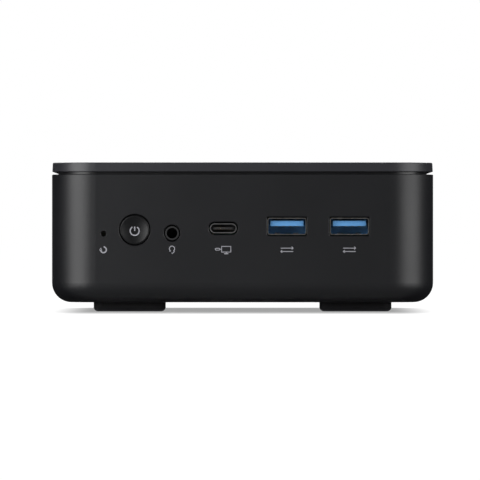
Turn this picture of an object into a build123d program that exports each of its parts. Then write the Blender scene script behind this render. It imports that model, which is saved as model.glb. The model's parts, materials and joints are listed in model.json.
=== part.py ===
"""Small square desktop computer as an assembly of its separate pieces, in millimetres.

+X is right as seen from the front, the front faces -Y and +Z is up. The origin is under
the middle of the case, on the surface that the feet stand on.
"""

from build123d import *
from math import cos, radians, sin
import os

# Case
WIDTH = 128.8
DEPTH = 127.0
CORNER_R = 15.0
BOTTOM_R = 6.5
WALL = 2.0
BODY_BOTTOM = 3.1
BODY_TOP = 46.2
FLOOR_TOP = BODY_BOTTOM + 3.0
FRONT = -DEPTH / 2
BACK = DEPTH / 2
FRONT_INSIDE = FRONT + WALL
BACK_INSIDE = BACK - WALL

# Lid and the recessed neck that it stands on
NECK_INSET = 2.2
NECK_BOTTOM = 43.2
NECK_PLATE = 2.0
NECK_WALL = 2.0
LID_BOTTOM = 47.1
LID_TOP = 50.2
LID_INSET = 0.1
LID_SKIN = 1.6
LID_TAPER = 3.0
LID_OPENING = (104.0, 103.0, 8.0)
HOOK_REACH = 28.0
RIB_INSET = 4.4
RIB_WALL = 1.2

# Bottom cover, feet and bracket inserts
COVER_THICKNESS = 1.8
COVER_REBATE = (108.0, 107.0, 7.0)
FLOOR_OPENING = (98.0, 97.0, 8.0)
COVER_GAP = 0.2
FOOT_SIZE = (24.3, 10.5)
FOOT_SEAT = 0.8
FOOT_FRONT_X = 38.15
FOOT_REAR_X = 39.6
FOOT_Y = 47.2
INSERT_SPACING = 75.0
INSERT_R = 2.1
THREAD_R = 1.25
VENT_PITCH = 5.0

# Fixing points: half spacings in X and Y
COVER_FIXING = (50.5, 30.0)
BOARD_FIXING = (53.5, 45.0)
NECK_FIXING = (54.3, 53.8)
PANEL_FIXING = (46.0, 34.0)
BOSS_R = 3.2
SCREW_R = 1.2

# Mainboard
BOARD_TOP = 26.4
BOARD_BOTTOM = BOARD_TOP - 1.6
BOARD_HALF = 59.0
BOARD_FRONT = -57.5
BOARD_BACK = 58.5

# Front controls and ports: X and Z of each centre
RESET = (-46.7, 26.2)
POWER = (-36.2, 27.5)
AUDIO = (-23.7, BOARD_TOP)
USB_C = (-6.5, BOARD_TOP + 1.63)
USB_A_LEFT = (14.9, 28.7)
USB_A_RIGHT = (35.9, 28.7)
PORT_FACE = FRONT + 0.4
PINHOLE_R = 0.875
RIM_CHAMFER = 0.2
BUTTON_HOLE_R = 5.3
BUTTON_R = 4.875
JACK_R = 1.8
JACK_RING_R = 2.3
USB_A_OUTER = (13.1, 5.72)
USB_A_INNER = (12.5, 5.12)
USB_A_LENGTH = 14.0
USB_C_OUTER = (8.94, 3.26)
METAL = 0.3

# Rear ports: X of each centre
POWER_INLET_X = 37.5
HDMI_X = 23.0
DISPLAY_X = 3.8
NETWORK_X = -15.2
REAR_USB_X = -33.5
REAR_FACE = BACK_INSIDE + 0.5
PANEL_THICKNESS = 1.2
PANEL_HALF = 48.6
PANEL_BOTTOM = 10.6
PANEL_TOP = 43.0
PANEL_WINDOW = (86.0, 30.4, 27.2)

# Cooling, under the board
FAN_X = -14.0
FAN_Y = 13.0
FAN_WIDTH = 66.0
FAN_CORNER_R = 20.0
FAN_BOTTOM = 8.4
FAN_TOP = 20.0
FAN_SKIN = 1.0
ROTOR_R = 25.0
HUB_R = 9.0
BLADES = 17
SHAFT_R = 1.0
FAN_FIXINGS = [(10.0, -19.5), (-38.0, -19.5), (21.8, 36.0), (-49.8, 22.0)]
CHIP_X = 34.0
CHIP_Y = 4.0
CHIP_FIXING = (19.0, 15.0)
PLATE_TOP = 23.0
PIPE_TOP = 21.4
PIPE_SIZE = (5.6, 2.8)
FINS_TOP = PIPE_TOP - PIPE_SIZE[1]
FINS_BOTTOM = PANEL_BOTTOM

# Memory and plug-in cards, over the board
MEMORY_X = 11.0
MEMORY_SIZE = (69.6, 30.0, 1.0)
DRIVE_Y = 25.0
RADIO_X = -39.5
CARD_Z = 28.6
CARD_THICKNESS = 0.8
CELL = (-47.0, 2.0)
CELL_R = 10.0
LEAD_R = 0.57


def box(x0, x1, y0, y1, z0, z1):
    """Block between two corners."""
    centre = Pos((x0 + x1) / 2, (y0 + y1) / 2, (z0 + z1) / 2)
    return centre * Box(x1 - x0, y1 - y0, z1 - z0)


def rod_z(x, y, z0, z1, radius):
    """Upright cylinder."""
    return Pos(x, y, (z0 + z1) / 2) * Cylinder(radius, z1 - z0)


def rod_y(x, z, y0, y1, radius):
    """Cylinder that runs from front to back."""
    return Pos(x, (y0 + y1) / 2, z) * Rot(90, 0, 0) * Cylinder(radius, y1 - y0)


def along_y(sketch, x, z, y0, y1):
    """Sketch, drawn as seen from the front, run from front to back."""
    return Pos(x, y1, z) * Rot(90, 0, 0) * extrude(sketch, y1 - y0)


def slab(width, depth, radius, z0, z1):
    """Flat block with upright rounded corners."""
    return Pos(0, 0, z0) * extrude(RectangleRounded(width, depth, radius), z1 - z0)


def four(reach):
    """The four points at plus and minus a pair of half spacings."""
    return [(sx * reach[0], sy * reach[1]) for sx in (-1, 1) for sy in (-1, 1)]


def group(solids):
    """Separate solids as one node."""
    return Compound(children=[solid for item in solids for solid in item.solids()])


def pan_screw(length, head_r, head_h, shank_r=SCREW_R):
    """Screw that drives upwards, with the underside of its head at zero and a hexagon socket."""
    screw = rod_z(0, 0, 0, length, shank_r) + rod_z(0, 0, -head_h, 0, head_r)
    socket = extrude(RegularPolygon(head_r * 0.5, 6), head_h * 0.6)
    return screw - Pos(0, 0, -head_h) * socket


def flat_screw(length, head_r, head_h):
    """Countersunk screw that drives upwards, with the face of its head at zero."""
    head = Pos(0, 0, head_h / 2) * Cone(head_r, SCREW_R, head_h)
    screw = head + rod_z(0, 0, 0, length, SCREW_R)
    return screw - extrude(RegularPolygon(head_r * 0.5, 6), head_h * 0.6)


def envelope(inset, z0, z1, lower_r):
    """Rounded square block with a radius round its lower edge."""
    block = slab(WIDTH - 2 * inset, DEPTH - 2 * inset, CORNER_R - inset, z0, z1)
    return fillet(block.edges().group_by(Axis.Z)[0], lower_r)


# Case


def front_cutouts():
    """Openings of the front wall for the controls and ports."""
    y0 = FRONT - 1
    y1 = FRONT_INSIDE + 1
    cuts = rod_y(*RESET, y0, y1, PINHOLE_R) + rod_y(*POWER, y0, y1, BUTTON_HOLE_R)
    cuts += rod_y(*AUDIO, y0, y1, JACK_RING_R + 0.5)
    cuts += along_y(RectangleRounded(9.9, 4.3, 2.1), *USB_C, y0, y1)
    for x, z in (USB_A_LEFT, USB_A_RIGHT):
        cuts += along_y(RectangleRounded(13.5, 6.4, 0.6), x, z, y0, y1)
    return cuts


def neck_post(sx, sy):
    """Post in a corner of the housing that the neck frame is screwed to, with a web to the wall."""
    x = sx * NECK_FIXING[0]
    y = sy * NECK_FIXING[1]
    post = rod_z(x, y, 32.0, NECK_BOTTOM, BOSS_R)
    web = Pos(x, y, 32.0) * Rot(0, 0, 45 * sx * sy) * extrude(Rectangle(12, 2 * BOSS_R), 11.2)
    keep = box(min(x, sx * 80), max(x, sx * 80), min(y, sy * 80), max(y, sy * 80), 30, 45)
    return post + (web & keep)


def housing():
    """Moulded shell: four walls and the radius round the bottom, with its bosses and openings."""
    outside = envelope(0, BODY_BOTTOM, BODY_TOP, BOTTOM_R)
    outside = fillet(outside.edges().group_by(Axis.Z)[-1], 0.3)
    shell = outside - envelope(WALL, FLOOR_TOP, BODY_TOP + 1, BOTTOM_R - 3)
    shell -= slab(*FLOOR_OPENING, BODY_BOTTOM - 1, FLOOR_TOP + 1)
    bosses = []
    for x, y in four(COVER_FIXING):
        bosses.append(rod_z(x, y, BODY_BOTTOM + COVER_THICKNESS, 12.0, 3.0))
    for x, y in four(BOARD_FIXING):
        bosses.append(rod_z(x, y, FLOOR_TOP - 0.5, BOARD_BOTTOM, BOSS_R))
    for sx, sy in four((1, 1)):
        bosses.append(neck_post(sx, sy) & outside)
    shell += bosses
    shell -= slab(*COVER_REBATE, BODY_BOTTOM - 1, BODY_BOTTOM + COVER_THICKNESS)
    holes = [rod_z(x, y, 4.0, 11.0, THREAD_R) for x, y in four(COVER_FIXING)]
    holes += [rod_z(x, y, 17.0, 25.0, THREAD_R) for x, y in four(BOARD_FIXING)]
    holes += [rod_z(x, y, 35.0, 44.0, THREAD_R) for x, y in four(NECK_FIXING)]
    width, height, middle = PANEL_WINDOW
    holes.append(along_y(RectangleRounded(width, height, 2.5), 0, middle, BACK_INSIDE - 1, BACK + 1))
    sink = Rot(90, 0, 0) * Cone(2.3, THREAD_R, 1.3)
    for side in (-1, 1):
        x = side * PANEL_FIXING[0]
        holes.append(rod_y(x, PANEL_FIXING[1], BACK_INSIDE - 1, BACK + 1, THREAD_R))
        holes.append(Pos(x, BACK - 0.65, PANEL_FIXING[1]) * sink)
    shell -= holes
    shell -= front_cutouts()
    rims = [edge for wire in shell.faces().sort_by(Axis.Y)[0].inner_wires() for edge in wire.edges()]
    return chamfer(rims, RIM_CHAMFER)


def neck_frame():
    """Frame in the top of the housing that carries the lid; its wall is the dark recess under it."""
    width = WIDTH - 2 * NECK_INSET
    depth = DEPTH - 2 * NECK_INSET
    radius = CORNER_R - NECK_INSET
    frame = slab(width, depth, radius, NECK_BOTTOM, LID_BOTTOM)
    frame -= slab(
        width - 2 * NECK_WALL,
        depth - 2 * NECK_WALL,
        radius - NECK_WALL,
        NECK_BOTTOM + NECK_PLATE,
        LID_BOTTOM + 1,
    )
    frame -= slab(*LID_OPENING, NECK_BOTTOM - 1, LID_BOTTOM + 1)
    return frame - [rod_z(x, y, 42, 48, SCREW_R + 0.2) for x, y in four(NECK_FIXING)]


def lid_hook():
    """Snap hook that faces +X, with the outside of its arm at X zero and its root at Z zero."""
    tip = NECK_BOTTOM - 1.0 - LID_TOP + LID_SKIN
    arm = box(-1.4, 0, -5, 5, tip, 0)
    barb = Polygon((0, tip), (0.8, tip + 0.9), (0, tip + 0.9), align=None)
    return arm + Pos(0, 5, 0) * Rot(90, 0, 0) * extrude(barb, 10)


def top_cover():
    """Flat lid with a locating rib, stiffening ribs and eight snap hooks under it."""
    width = WIDTH - 2 * LID_INSET
    depth = DEPTH - 2 * LID_INSET
    outline = RectangleRounded(width, depth, CORNER_R - LID_INSET)
    lid = Pos(0, 0, LID_BOTTOM) * extrude(outline, LID_TOP - LID_BOTTOM, taper=LID_TAPER)
    lid = fillet(lid.edges().group_by(Axis.Z)[-1], 0.4)
    lid = fillet(lid.edges().group_by(Axis.Z)[0], 0.2)
    rib_width = WIDTH - 2 * RIB_INSET
    rib_depth = DEPTH - 2 * RIB_INSET
    rib_r = CORNER_R - RIB_INSET
    hollow_top = LID_TOP - LID_SKIN
    hollow = (rib_width - 2 * RIB_WALL, rib_depth - 2 * RIB_WALL, rib_r - RIB_WALL)
    lid += slab(rib_width, rib_depth, rib_r, LID_BOTTOM - 1.3, LID_BOTTOM + 0.5)
    lid -= slab(*hollow, LID_BOTTOM - 2, hollow_top)
    ribs = [box(x - 0.6, x + 0.6, -57.5, 57.5, LID_BOTTOM, hollow_top) for x in (-40, 0, 40)]
    ribs += [box(-58, 58, y - 0.6, y + 0.6, LID_BOTTOM, hollow_top) for y in (-40, 0, 40)]
    hooks = []
    for turn, reach in ((0, 0), (90, 1), (180, 0), (270, 1)):
        for side in (-HOOK_REACH, HOOK_REACH):
            place = Rot(0, 0, turn) * Pos(LID_OPENING[reach] / 2 - COVER_GAP, side, hollow_top)
            hooks.append(place * lid_hook())
    return lid + ribs + hooks


def bottom_cover():
    """Plate that closes the floor, with the air intake, foot seats and bosses for the inserts."""
    width, depth, radius = COVER_REBATE
    top = BODY_BOTTOM + COVER_THICKNESS
    plate = slab(width - 2 * COVER_GAP, depth - 2 * COVER_GAP, radius - COVER_GAP, BODY_BOTTOM, top)
    reach = (INSERT_SPACING / 2, INSERT_SPACING / 2)
    plate += [rod_z(x, y, top - 0.5, 7.8, BOSS_R) for x, y in four(reach)]
    cuts = [rod_z(x, y, BODY_BOTTOM - 1, 7.3, INSERT_R) for x, y in four(reach)]
    cuts += [rod_z(x, y, 7.0, 9.0, THREAD_R) for x, y in four(reach)]
    for x, y in four(COVER_FIXING):
        cuts.append(rod_z(x, y, BODY_BOTTOM - 1, top + 1, THREAD_R))
        cuts.append(Pos(x, y, BODY_BOTTOM + 0.65) * Cone(2.3, THREAD_R, 1.3))
    for x, y in foot_places().values():
        seat = RectangleRounded(FOOT_SIZE[0] + 0.2, FOOT_SIZE[1] + 0.2, 3.1)
        cuts.append(Pos(x, y, BODY_BOTTOM - 1) * extrude(seat, 1 + FOOT_SEAT))
    for row in range(-5, 6):
        for column in (-1, 0, 1):
            slot = extrude(SlotOverall(17, 2.4), COVER_THICKNESS + 2)
            cuts.append(Pos(column * 20, row * VENT_PITCH, BODY_BOTTOM - 1) * slot)
    return plate - cuts


def foot_places():
    """Name and centre of each foot."""
    return {
        "foot_front_left": (-FOOT_FRONT_X, -FOOT_Y),
        "foot_front_right": (FOOT_FRONT_X, -FOOT_Y),
        "foot_rear_left": (-FOOT_REAR_X, FOOT_Y),
        "foot_rear_right": (FOOT_REAR_X, FOOT_Y),
    }


def foot(x, y):
    """Rubber pad seated in the bottom cover."""
    pad = extrude(RectangleRounded(*FOOT_SIZE, 3.0), BODY_BOTTOM + FOOT_SEAT)
    return Pos(x, y, 0) * fillet(pad.edges().group_by(Axis.Z)[0], 1.5)


def rear_panel():
    """Sheet metal plate behind the rear window, with port cut-outs, exhaust slots and a lock slot."""
    y0 = BACK_INSIDE - PANEL_THICKNESS
    plate = box(-PANEL_HALF, PANEL_HALF, y0, BACK_INSIDE, PANEL_BOTTOM, PANEL_TOP)
    places = [(sx * PANEL_FIXING[0], PANEL_FIXING[1]) for sx in (-1, 1)]
    plate += [rod_y(x, z, y0 - 2.6, y0 + 0.5, 2.5) for x, z in places]
    cuts = [rod_y(x, z, y0 - 3, BACK, THREAD_R) for x, z in places]
    gap = 0.25
    for x, half, height in (
        (HDMI_X, 7.5, 5.6),
        (DISPLAY_X, 8.45, 6.2),
        (NETWORK_X, 8.0, 13.5),
        (REAR_USB_X, 7.1, 15.4),
        (POWER_INLET_X, 4.5, 9.0),
    ):
        bottom = BOARD_TOP - gap
        cuts.append(box(x - half - gap, x + half + gap, y0 - 1, BACK, bottom, BOARD_TOP + height + gap))
    for step in range(19):
        cuts.append(along_y(SlotOverall(9.4, 2.2, rotation=90), 4 * step - 38, 17.6, y0 - 1, BACK))
    cuts.append(along_y(RectangleRounded(3.0, 7.0, 0.6), 39.6, 17.6, y0 - 1, BACK))
    return plate - cuts


def bottom_cover_screws():
    """Countersunk screws that hold the bottom cover."""
    return group([Pos(x, y, BODY_BOTTOM) * flat_screw(7, 2.25, 1.3) for x, y in four(COVER_FIXING)])


def neck_frame_screws():
    """Screws that hold the neck frame."""
    down = Rot(180, 0, 0) * pan_screw(8, 1.8, 1.4)
    return group([Pos(x, y, NECK_BOTTOM + NECK_PLATE) * down for x, y in four(NECK_FIXING)])


def rear_panel_screws():
    """Countersunk screws through the rear wall into the panel."""
    screw = Rot(90, 0, 0) * flat_screw(5, 2.25, 1.3)
    return group([Pos(sx * PANEL_FIXING[0], BACK, PANEL_FIXING[1]) * screw for sx in (-1, 1)])


def mounting_inserts():
    """Threaded inserts in the bottom cover for a wall or monitor bracket."""
    reach = (INSERT_SPACING / 2, INSERT_SPACING / 2)
    insert = rod_z(0, 0, BODY_BOTTOM + 0.2, 7.3, INSERT_R) - rod_z(0, 0, 0, 9, THREAD_R)
    return group([Pos(x, y, 0) * insert for x, y in four(reach)])


# Front controls


def power_button():
    """Round cap with a dished face, a flange behind the wall and a stem."""
    x, z = POWER
    cap = rod_y(x, z, FRONT, FRONT_INSIDE + 0.2, BUTTON_R)
    cap = fillet(cap.edges().group_by(Axis.Y)[0], 0.25)
    rim = BUTTON_R - 0.45
    depth = 0.7
    ball = (rim**2 + depth**2) / (2 * depth)
    cap -= Pos(x, FRONT + depth - ball, z) * Sphere(ball)
    flange = rod_y(x, z, FRONT_INSIDE + 0.2, FRONT_INSIDE + 1.4, 6.2)
    return cap + flange + rod_y(x, z, FRONT_INSIDE + 1.4, FRONT_INSIDE + 2.6, 1.5)


def button_guide():
    """Cup on the inside of the front wall that guides the power button."""
    x, z = POWER
    cup = rod_y(x, z, FRONT_INSIDE, FRONT_INSIDE + 3.2, 8.0)
    cup -= rod_y(x, z, FRONT_INSIDE - 1, FRONT_INSIDE + 2.3, 6.6)
    return cup - rod_y(x, z, FRONT_INSIDE, FRONT_INSIDE + 4, 1.8)


def power_switch():
    """Side-push switch on the front edge of the board."""
    x, z = POWER
    body = box(x - 3, x + 3, -56.2, -52.7, BOARD_TOP, BOARD_TOP + 3.5)
    return body - rod_y(x, z, -57, -54.4, 1.05)


def power_switch_plunger():
    """Plunger that the power button's stem pushes."""
    return rod_y(*POWER, FRONT_INSIDE + 2.6, -55.1, 1.0)


def reset_switch():
    """Side-push switch sunk into a notch of the board, behind the pinhole."""
    x, z = RESET
    body = box(x - 3, x + 3, -56.6, -53.0, 24.5, 28.0)
    body += box(x - 5, x + 5, -55.6, -53.4, BOARD_TOP, BOARD_TOP + 0.9)
    return body - rod_y(x, z, -57, -54.6, 0.85)


def reset_switch_plunger():
    """Plunger that a pin pushes through the pinhole."""
    return rod_y(*RESET, -58.2, -55.4, 0.8)


def audio_jack():
    """Moulded body of the audio jack, sunk into a notch of the board."""
    x, z = AUDIO
    body = box(x - 3, x + 3, FRONT_INSIDE + 0.5, -49.0, z - 2.5, z + 2.5)
    body += box(x - 4.5, x + 4.5, -56, -51, BOARD_TOP, BOARD_TOP + 1)
    return body - rod_y(x, z, FRONT, -49.8, JACK_R)


def audio_jack_ring():
    """Metal ring at the mouth of the audio jack."""
    ring = rod_y(*AUDIO, FRONT + 0.3, FRONT_INSIDE + 0.5, JACK_RING_R)
    return ring - rod_y(*AUDIO, FRONT - 1, BOARD_FRONT, JACK_R)


def usb_c_shell():
    """Metal shell of the USB-C port."""
    width, height = USB_C_OUTER
    ring = RectangleRounded(width, height, height / 2 - 0.02)
    ring -= RectangleRounded(width - 2 * METAL, height - 2 * METAL, height / 2 - METAL - 0.02)
    return along_y(ring, *USB_C, PORT_FACE, PORT_FACE + 7.5)


def usb_c_tongue():
    """Contact tongue of the USB-C port on its base."""
    width, height = USB_C_OUTER
    base = RectangleRounded(width - 2 * METAL, height - 2 * METAL, height / 2 - METAL - 0.02)
    tongue = along_y(RectangleRounded(6.69, 0.7, 0.3), *USB_C, PORT_FACE + 0.6, PORT_FACE + 7)
    return tongue + along_y(base, *USB_C, PORT_FACE + 6, PORT_FACE + 7.5)


def usb_a_shell(x, z):
    """Metal shell of one USB-A port with two feet on the board."""
    ring = RectangleRounded(*USB_A_OUTER, 0.8) - RectangleRounded(*USB_A_INNER, 0.5)
    shell = along_y(ring, x, z, PORT_FACE, PORT_FACE + USB_A_LENGTH)
    for side in (-1, 1):
        inner = x + side * (USB_A_OUTER[0] / 2 - 0.1)
        outer = x + side * (USB_A_OUTER[0] / 2 + 1.2)
        shell += box(min(inner, outer), max(inner, outer), -56, -52, BOARD_TOP, BOARD_TOP + METAL)
    return shell


def usb_a_tongue(x, z):
    """Contact tongue of one USB-A port on its base."""
    y1 = PORT_FACE + USB_A_LENGTH
    tongue = box(x - 5.55, x + 5.55, PORT_FACE + 1.5, y1 - 1, z + 0.1, z + 1.85)
    return tongue + along_y(RectangleRounded(*USB_A_INNER, 0.5), x, z, y1 - 1.5, y1)


# Boards


def board_notches():
    """Openings in the front edge of the board for sunk connectors."""
    notches = []
    for x, half, back in (
        (RESET[0], 3.3, -52.7),
        (AUDIO[0], 3.2, -48.8),
        (USB_A_LEFT[0], 6.8, -48.9),
        (USB_A_RIGHT[0], 6.8, -48.9),
    ):
        notches.append(box(x - half, x + half, BOARD_FRONT - 1, back, 20, 30))
    return notches


def mainboard():
    """Circuit board with its soldered parts."""
    middle = (BOARD_FRONT + BOARD_BACK) / 2
    board = slab(2 * BOARD_HALF, BOARD_BACK - BOARD_FRONT, 12, BOARD_BOTTOM, BOARD_TOP)
    board = Pos(0, middle, 0) * board
    parts = [rod_z(36.0, DRIVE_Y, BOARD_TOP - 0.5, CARD_Z, 2.75)]
    parts.append(rod_z(RADIO_X, -44.5, BOARD_TOP - 0.5, CARD_Z, 2.75))
    for step in range(5):
        y = 6.0 * step - 14
        parts.append(box(51, 56, y, y + 4.6, BOARD_TOP - 0.5, BOARD_TOP + 3.2))
    for step in range(6):
        parts.append(rod_z(-49.5 + 7.4 * step, 41.0, BOARD_TOP - 0.5, BOARD_TOP + 2.8, 2.6))
    parts.append(box(20, 34, -46.5, -36, BOARD_TOP - 0.5, BOARD_TOP + 1.1))
    parts.append(box(-19, -7, -44, -35, BOARD_TOP - 0.5, BOARD_TOP + 1.0))
    board += parts
    holes = [rod_z(x, y, 20, 30, 1.45) for x, y in four(BOARD_FIXING)]
    holes += [rod_z(CHIP_X + x, CHIP_Y + y, 20, 30, THREAD_R) for x, y in four(CHIP_FIXING)]
    holes += [rod_z(x, y, 20, 30, THREAD_R) for x, y in FAN_FIXINGS]
    holes += [rod_z(x, y, BOARD_TOP - 3, CARD_Z + 1, 0.8) for x, y in card_fixings()]
    return board - holes - board_notches()


def card_fixings():
    """Centres of the screws that hold the drive and the radio card."""
    return [(36.0, DRIVE_Y), (RADIO_X, -44.5)]


def board_screws():
    """Screws that hold the board to the housing."""
    down = Rot(180, 0, 0) * pan_screw(7, 2.4, 1.5)
    return group([Pos(x, y, BOARD_TOP) * down for x, y in four(BOARD_FIXING)])


def processor():
    """Processor package under the board."""
    package = box(CHIP_X - 15, CHIP_X + 15, CHIP_Y - 12, CHIP_Y + 12, PLATE_TOP + 0.6, BOARD_BOTTOM)
    return package + box(CHIP_X - 8, CHIP_X + 8, CHIP_Y - 6, CHIP_Y + 6, PLATE_TOP, PLATE_TOP + 0.7)


def memory_socket(bar_y, top, arm_bottom):
    """Memory socket: contact bar with a slot for the module and two side arms."""
    half = 37.0
    socket = box(MEMORY_X - half, MEMORY_X + half, bar_y, bar_y + 6, BOARD_TOP, top)
    for side in (-1, 1):
        x = MEMORY_X + side * (half - 0.9)
        socket += box(x - 0.9, x + 0.9, bar_y - 22, bar_y + 1, arm_bottom, top)
    slot = box(MEMORY_X - 34.9, MEMORY_X + 34.9, bar_y - 1, bar_y + 2.5, top - 2.25, top - 1.15)
    return socket - slot


def memory_module(bar_y, top):
    """Memory module with chips on both sides."""
    width, depth, thickness = MEMORY_SIZE
    y1 = bar_y + 2.4
    z0 = top - 2.2
    card = box(MEMORY_X - width / 2, MEMORY_X + width / 2, y1 - depth, y1, z0, z0 + thickness)
    for step in range(4):
        x = MEMORY_X - 25.5 + 17 * step
        card += box(x - 5, x + 5, y1 - 26, y1 - 14, z0 - 0.9, z0 + thickness + 0.9)
    return card


def edge_socket(x0, x1, y0, y1, slot):
    """Low socket for a plug-in card, with a slot cut by the given block."""
    return box(x0, x1, y0, y1, BOARD_TOP, BOARD_TOP + 4) - slot


def drive_socket():
    """Socket of the solid state drive."""
    slot = box(-43.6, -40, DRIVE_Y - 11.1, DRIVE_Y + 11.1, CARD_Z - 0.05, CARD_Z + 0.85)
    return edge_socket(-46, -40.5, DRIVE_Y - 11.5, DRIVE_Y + 11.5, slot)


def solid_state_drive():
    """Solid state drive card with its chips."""
    card = box(-43.5, 36, DRIVE_Y - 11, DRIVE_Y + 11, CARD_Z, CARD_Z + CARD_THICKNESS)
    card -= rod_z(36, DRIVE_Y, CARD_Z - 1, CARD_Z + 2, 1.75)
    for x in (-30, -10, 10):
        card += box(x - 8, x + 8, DRIVE_Y - 9, DRIVE_Y + 9, CARD_Z + 0.5, CARD_Z + 2.0)
    return card


def radio_socket():
    """Socket of the wireless card."""
    slot = box(RADIO_X - 11.1, RADIO_X + 11.1, -17, -13.4, CARD_Z - 0.05, CARD_Z + 0.85)
    return edge_socket(RADIO_X - 11.5, RADIO_X + 11.5, -16, -10.5, slot)


def radio_card():
    """Wireless card with its shield and two aerial connectors."""
    card = box(RADIO_X - 11, RADIO_X + 11, -44.5, -13.5, CARD_Z, CARD_Z + CARD_THICKNESS)
    card -= rod_z(RADIO_X, -44.5, CARD_Z - 1, CARD_Z + 2, 1.75)
    card += box(RADIO_X - 9, RADIO_X + 9, -36, -19, CARD_Z + 0.5, CARD_Z + 2.2)
    for side in (-1, 1):
        card += rod_z(RADIO_X + 6 * side, -40, CARD_Z + 0.5, CARD_Z + 1.8, 1.3)
    return card


def card_screws():
    """Screws that hold the drive and the wireless card."""
    down = Rot(180, 0, 0) * (pan_screw(2.6, 2.4, 1.0, 0.75) + rod_z(0, 0, 0, 0.8, 1.7))
    return group([Pos(x, y, CARD_Z + CARD_THICKNESS) * down for x, y in card_fixings()])


def antenna(side):
    """Flat aerial on a side wall, with the pad that its lead is soldered to."""
    wall = side * (WIDTH / 2 - WALL)
    plate = box(min(wall, wall - side * 0.6), max(wall, wall - side * 0.6), -8, 24, 31, 41)
    pad = wall - side * 3.2
    return plate + box(min(wall, pad), max(wall, pad), -8, -5, 34.8, 37.2)


def antenna_leads():
    """The two coaxial leads from the wireless card to the aerials."""
    z = CARD_Z + 1.8 + LEAD_R
    left = [(RADIO_X - 6, -40, z), (-58.6, -40, z), (-60.0, -8.1, 36)]
    right = [(RADIO_X + 6, -40, z), (RADIO_X + 6, -47, 36), (60.0, -47, 36), (60.0, -8, 36)]
    leads = []
    for points in (left, right):
        path = FilletPolyline(*points, radius=3.0)
        ring = Plane(origin=path @ 0, z_dir=path % 0) * Circle(LEAD_R)
        leads.append(sweep(ring, path=path))
    return group(leads)


def clock_cell_holder():
    """Round tray of the clock battery."""
    x, y = CELL
    tray = rod_z(x, y, BOARD_TOP, BOARD_TOP + 2.6, CELL_R + 1)
    tray -= rod_z(x, y, BOARD_TOP + 1.2, BOARD_TOP + 4, CELL_R + 0.1)
    return tray


def clock_cell():
    """Button battery that keeps the clock."""
    x, y = CELL
    cell = rod_z(x, y, BOARD_TOP + 1.2, BOARD_TOP + 4.2, CELL_R)
    return fillet(cell.edges().group_by(Axis.Z)[-1], 0.6)


# Cooling


def cold_plate():
    """Copper plate under the processor."""
    plate = box(CHIP_X - 22, CHIP_X + 22, CHIP_Y - 18, CHIP_Y + 18, PIPE_TOP, PLATE_TOP)
    return plate - [rod_z(CHIP_X + x, CHIP_Y + y, 20, 25, THREAD_R) for x, y in four(CHIP_FIXING)]


def heat_pipes():
    """Two flattened pipes from the cold plate over the fins."""
    z = PIPE_TOP - PIPE_SIZE[1] / 2
    pipes = []
    for x, y, radius in ((30.5, 50.0, 12.0), (37.0, 56.2, 18.5)):
        path = FilletPolyline((x, -13, z), (x, y, z), (-42, y, z), radius=radius)
        section = Plane(origin=path @ 0, x_dir=(1, 0, 0), z_dir=path % 0)
        section *= RectangleRounded(*PIPE_SIZE, PIPE_SIZE[1] / 2 - 0.05)
        pipes.append(sweep(section, path=path))
    return group(pipes)


def fin_stack():
    """Upright fins behind the fan, joined by a plate under the heat pipes."""
    stack = box(-44, 20, 46.8, 59.6, FINS_TOP - 0.6, FINS_TOP)
    for step in range(33):
        x = -44 + 2.0 * step
        stack += box(min(x, 19.6), min(x, 19.6) + 0.4, 46.8, 59.6, FINS_BOTTOM, FINS_TOP)
    return stack


def cooler_screws():
    """Screws that pull the cold plate against the processor."""
    screw = pan_screw(5, 2.4, 1.3)
    places = [(CHIP_X + x, CHIP_Y + y) for x, y in four(CHIP_FIXING)]
    return group([Pos(x, y, PIPE_TOP) * screw for x, y in places])


def fan_outline(inset, past):
    """Plan of the blower, round towards the front and open or square towards the back."""
    width = FAN_WIDTH - 2 * inset
    outline = RectangleRounded(width, width, FAN_CORNER_R - inset)
    half = FAN_WIDTH / 2 + past
    return outline + Pos(0, half / 2) * Rectangle(width, half)


def fan_housing():
    """Blower casing with its round intake, open towards the fins."""
    casing = extrude(fan_outline(0, 0), FAN_TOP - FAN_SKIN - FAN_BOTTOM)
    casing -= Pos(0, 0, FAN_SKIN) * extrude(fan_outline(1.2, 2), 20)
    casing -= rod_z(0, 0, -1, 3, 17.0)
    casing = Pos(FAN_X, FAN_Y, FAN_BOTTOM) * casing
    ears = []
    for x, y in FAN_FIXINGS:
        ears.append(rod_z(x, y, 16.5, BOARD_BOTTOM, 3.0))
    core = Pos(FAN_X, FAN_Y, FAN_BOTTOM) * extrude(fan_outline(1.2, 0), 20)
    casing += [ear - core for ear in ears]
    return casing - [rod_z(x, y, 10, 30, THREAD_R) for x, y in FAN_FIXINGS]


def fan_cover():
    """Upper plate of the blower, which carries the bearing."""
    plate = Pos(FAN_X, FAN_Y, FAN_TOP - FAN_SKIN) * extrude(fan_outline(0, 0), FAN_SKIN)
    return plate - [rod_z(x, y, 10, 30, 3.05) for x, y in FAN_FIXINGS]


def fan_bearing():
    """Sleeve bearing of the fan."""
    top = FAN_TOP - FAN_SKIN
    return rod_z(FAN_X, FAN_Y, 11.8, top, 2.6) - rod_z(FAN_X, FAN_Y, 10, 30, SHAFT_R + 0.04)


def fan_shaft():
    """Shaft pressed into the rotor."""
    return rod_z(FAN_X, FAN_Y, 10.0, 18.6, SHAFT_R)


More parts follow.
